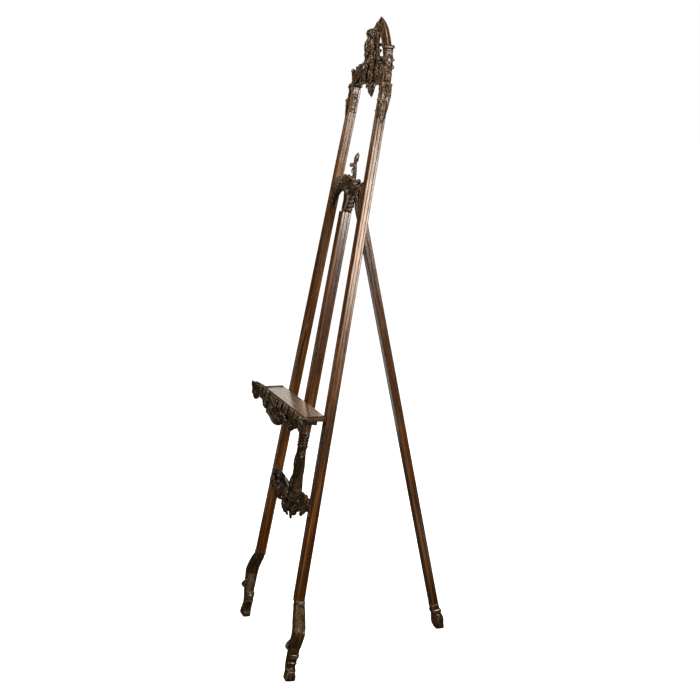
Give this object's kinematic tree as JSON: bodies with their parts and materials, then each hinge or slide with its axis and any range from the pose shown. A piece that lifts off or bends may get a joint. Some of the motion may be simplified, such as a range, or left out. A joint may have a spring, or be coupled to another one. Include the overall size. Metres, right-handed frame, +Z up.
{
  "type": "tripod display easel",
  "caption": "Tall carved wooden display easel: converging stiles on scroll feet, a hinged rear leg, and a carved shelf that slides on a centre post.",
  "frame": {"origin": "on the floor, midway between the object's two sides and midway between its frontmost and rearmost points", "axes": "+X to the right seen from the front, +Y to the back, +Z up"},
  "size_m": [0.728, 0.6729, 2.1497],
  "materials": {
    "stick_walnut": "polished dark walnut",
    "carved_walnut": "carved dark walnut, worn on the high points",
    "shelf_walnut": "polished walnut board",
    "leg_walnut": "satin walnut",
    "brass": "aged brass"
  },
  "bodies": {
    "front_frame": {"right_stile": "stick_walnut", "left_stile": "stick_walnut", "right_foot": "carved_walnut", "left_foot": "carved_walnut", "right_crest_post": "carved_walnut", "left_crest_post": "carved_walnut", "right_shoulder_leaf": "carved_walnut", "left_shoulder_leaf": "carved_walnut", "upper_rail": "carved_walnut", "lower_rail": "carved_walnut", "rail_finial": "carved_walnut", "finial_dowel": "stick_walnut", "centre_post": "stick_walnut", "centre_console": "carved_walnut", "crest_cartouche": "carved_walnut", "crest_right_arch": "carved_walnut", "crest_left_arch": "carved_walnut", "crest_pendant": "carved_walnut", "rail_pegs": "stick_walnut", "foot_dowels": "stick_walnut", "crest_dowels": "stick_walnut", "right_hinge_cheek": "stick_walnut", "left_hinge_cheek": "stick_walnut", "cheek_screws": "brass", "hinge_pin": "brass", "pin_washers": "brass", "pin_nuts": "brass"},
    "rear_leg": {"rear_leg_post": "leg_walnut", "rear_foot": "carved_walnut", "rear_foot_dowel": "stick_walnut", "leg_bush": "brass"},
    "shelf": {"shelf_board": "shelf_walnut", "shelf_apron": "carved_walnut", "right_shelf_ear": "carved_walnut", "left_shelf_ear": "carved_walnut", "right_guide_cheek": "stick_walnut", "left_guide_cheek": "stick_walnut", "guide_screws": "brass", "rear_keeper": "stick_walnut", "keeper_screws": "brass", "threaded_insert": "brass"},
    "clamp": {"clamp_screw": "brass"}
  },
  "joints": [
    {"name": "rear_leg_fold", "type": "hinge", "parent": "front_frame", "child": "rear_leg", "pos_m": [0, 0.01437, 1.54501], "axis": [1, 0, 0], "range_deg": [-18, 0]},
    {"name": "shelf_slide", "type": "slide", "parent": "front_frame", "child": "shelf", "axis": [0, 0.1924, 0.9813], "range_m": [-0.028, 0.44]},
    {"name": "clamp_turn", "type": "hinge", "parent": "shelf", "child": "clamp", "pos_m": [0, -0.1358, 0.79499], "axis": [0, 0.9813, -0.1924], "range_deg": [-360, 0]}
  ]
}
